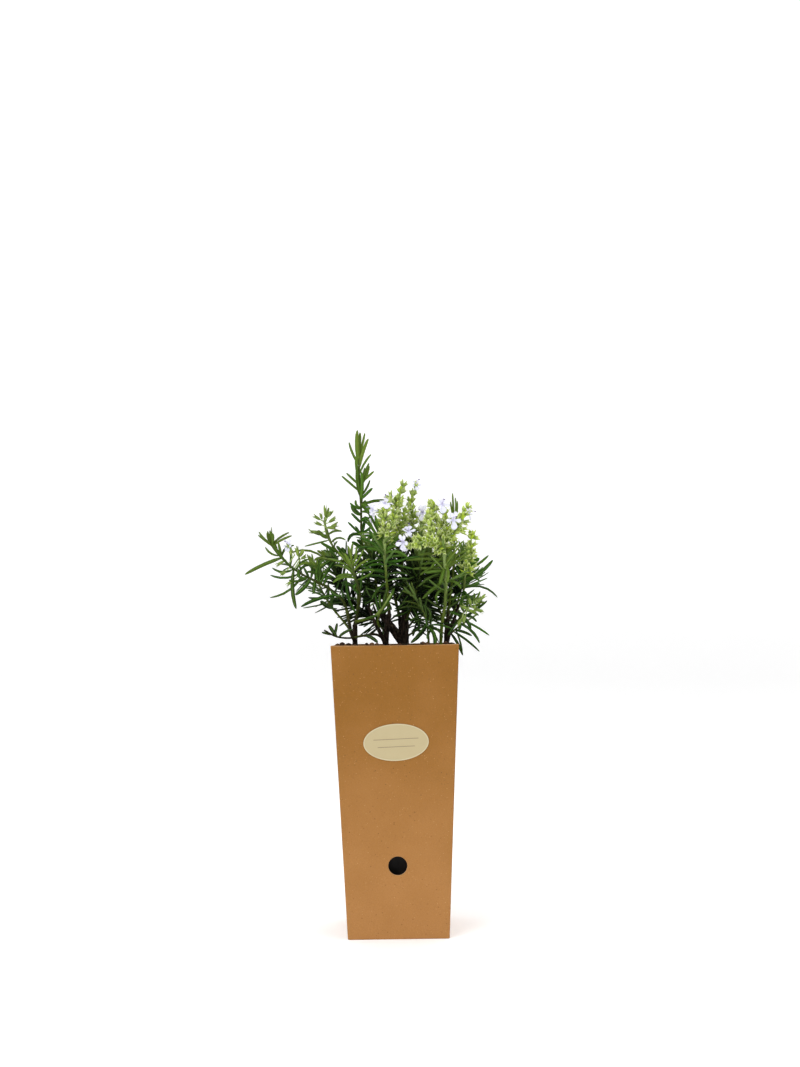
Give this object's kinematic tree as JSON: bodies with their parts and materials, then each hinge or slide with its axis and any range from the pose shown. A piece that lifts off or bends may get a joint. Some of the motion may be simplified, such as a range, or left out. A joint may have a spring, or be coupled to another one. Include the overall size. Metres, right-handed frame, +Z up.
{
  "type": "potted rosemary plant",
  "caption": "Flowering rosemary plant in a square black nursery pot, standing in a tall tapered brown cardboard box with a round finger hole and a blank oval label.",
  "frame": {"origin": "centre of the box's underside, on the surface that it stands on", "axes": "+Z up; the front of the box, with the label and the finger hole, faces -Y; +X is to the right as seen from the front"},
  "size_m": [0.2073, 0.1459, 0.4071],
  "materials": {
    "kraft_board": "matt brown board with fine light and dark flecks, paler along its cut edges",
    "label_paper": "smooth cream paper, blank but for two plain ruled lines",
    "black_plastic": "thin black moulded plastic, slightly satin",
    "soil": "dark loose potting mix with crumbs and bits of bark",
    "wood_bark": "dark grey-brown bark, split lengthwise",
    "leaf_green": "dark green needles, slightly glossy above and pale grey-green below",
    "calyx_green": "soft yellow-green with pale downy margins",
    "petal_lilac": "thin soft petals, white tinged with lilac"
  },
  "bodies": {
    "root": {"cardboard_box": "kraft_board", "oval_label": "label_paper", "nursery_pot": "black_plastic", "potting_soil": "soil", "trunk_centre": "wood_bark", "trunk_front": "wood_bark", "trunk_left": "wood_bark", "trunk_right": "wood_bark", "trunk_back": "wood_bark", "leafy_stem_tall": "leaf_green", "leafy_stem_far_left": "leaf_green", "leafy_stem_upper_left": "leaf_green", "leafy_stem_left_front": "leaf_green", "leafy_stem_left_back": "leaf_green", "leafy_stem_low_front": "leaf_green", "leafy_stem_low_left": "leaf_green", "leafy_stem_centre_front": "leaf_green", "leafy_stem_centre": "leaf_green", "leafy_stem_centre_back": "leaf_green", "leafy_stem_inner_left": "leaf_green", "leafy_stem_inner_right": "leaf_green", "leafy_stem_right_front": "leaf_green", "leafy_stem_right_upright": "leaf_green", "leafy_stem_far_right": "leaf_green", "leafy_stem_low_right": "leaf_green", "leafy_stem_low_far_right": "leaf_green", "leafy_stem_inner_far_right": "leaf_green", "leafy_stem_right_back": "leaf_green", "leafy_stem_front_right": "leaf_green", "leafy_stem_back_upright": "leaf_green", "leafy_stem_back_centre": "leaf_green", "leafy_stem_back_right": "leaf_green", "leafy_stem_back_left": "leaf_green", "leafy_stem_back_far": "leaf_green", "leafy_stem_back_low_right": "leaf_green", "leafy_stem_back_low_left": "leaf_green", "flower_head_front": "calyx_green", "flower_head_top": "calyx_green", "flower_head_top_right": "calyx_green", "flower_head_right": "calyx_green", "flower_head_far_right": "calyx_green", "flower_head_back": "calyx_green", "flower_head_back_right": "calyx_green", "bloom_01": "petal_lilac", "bloom_02": "petal_lilac", "bloom_03": "petal_lilac", "bloom_04": "petal_lilac", "bloom_05": "petal_lilac", "bloom_06": "petal_lilac", "bloom_07": "petal_lilac", "bloom_08": "petal_lilac", "bloom_09": "petal_lilac", "bloom_10": "petal_lilac", "bloom_11": "petal_lilac", "bloom_12": "petal_lilac"}
  },
  "joints": []
}
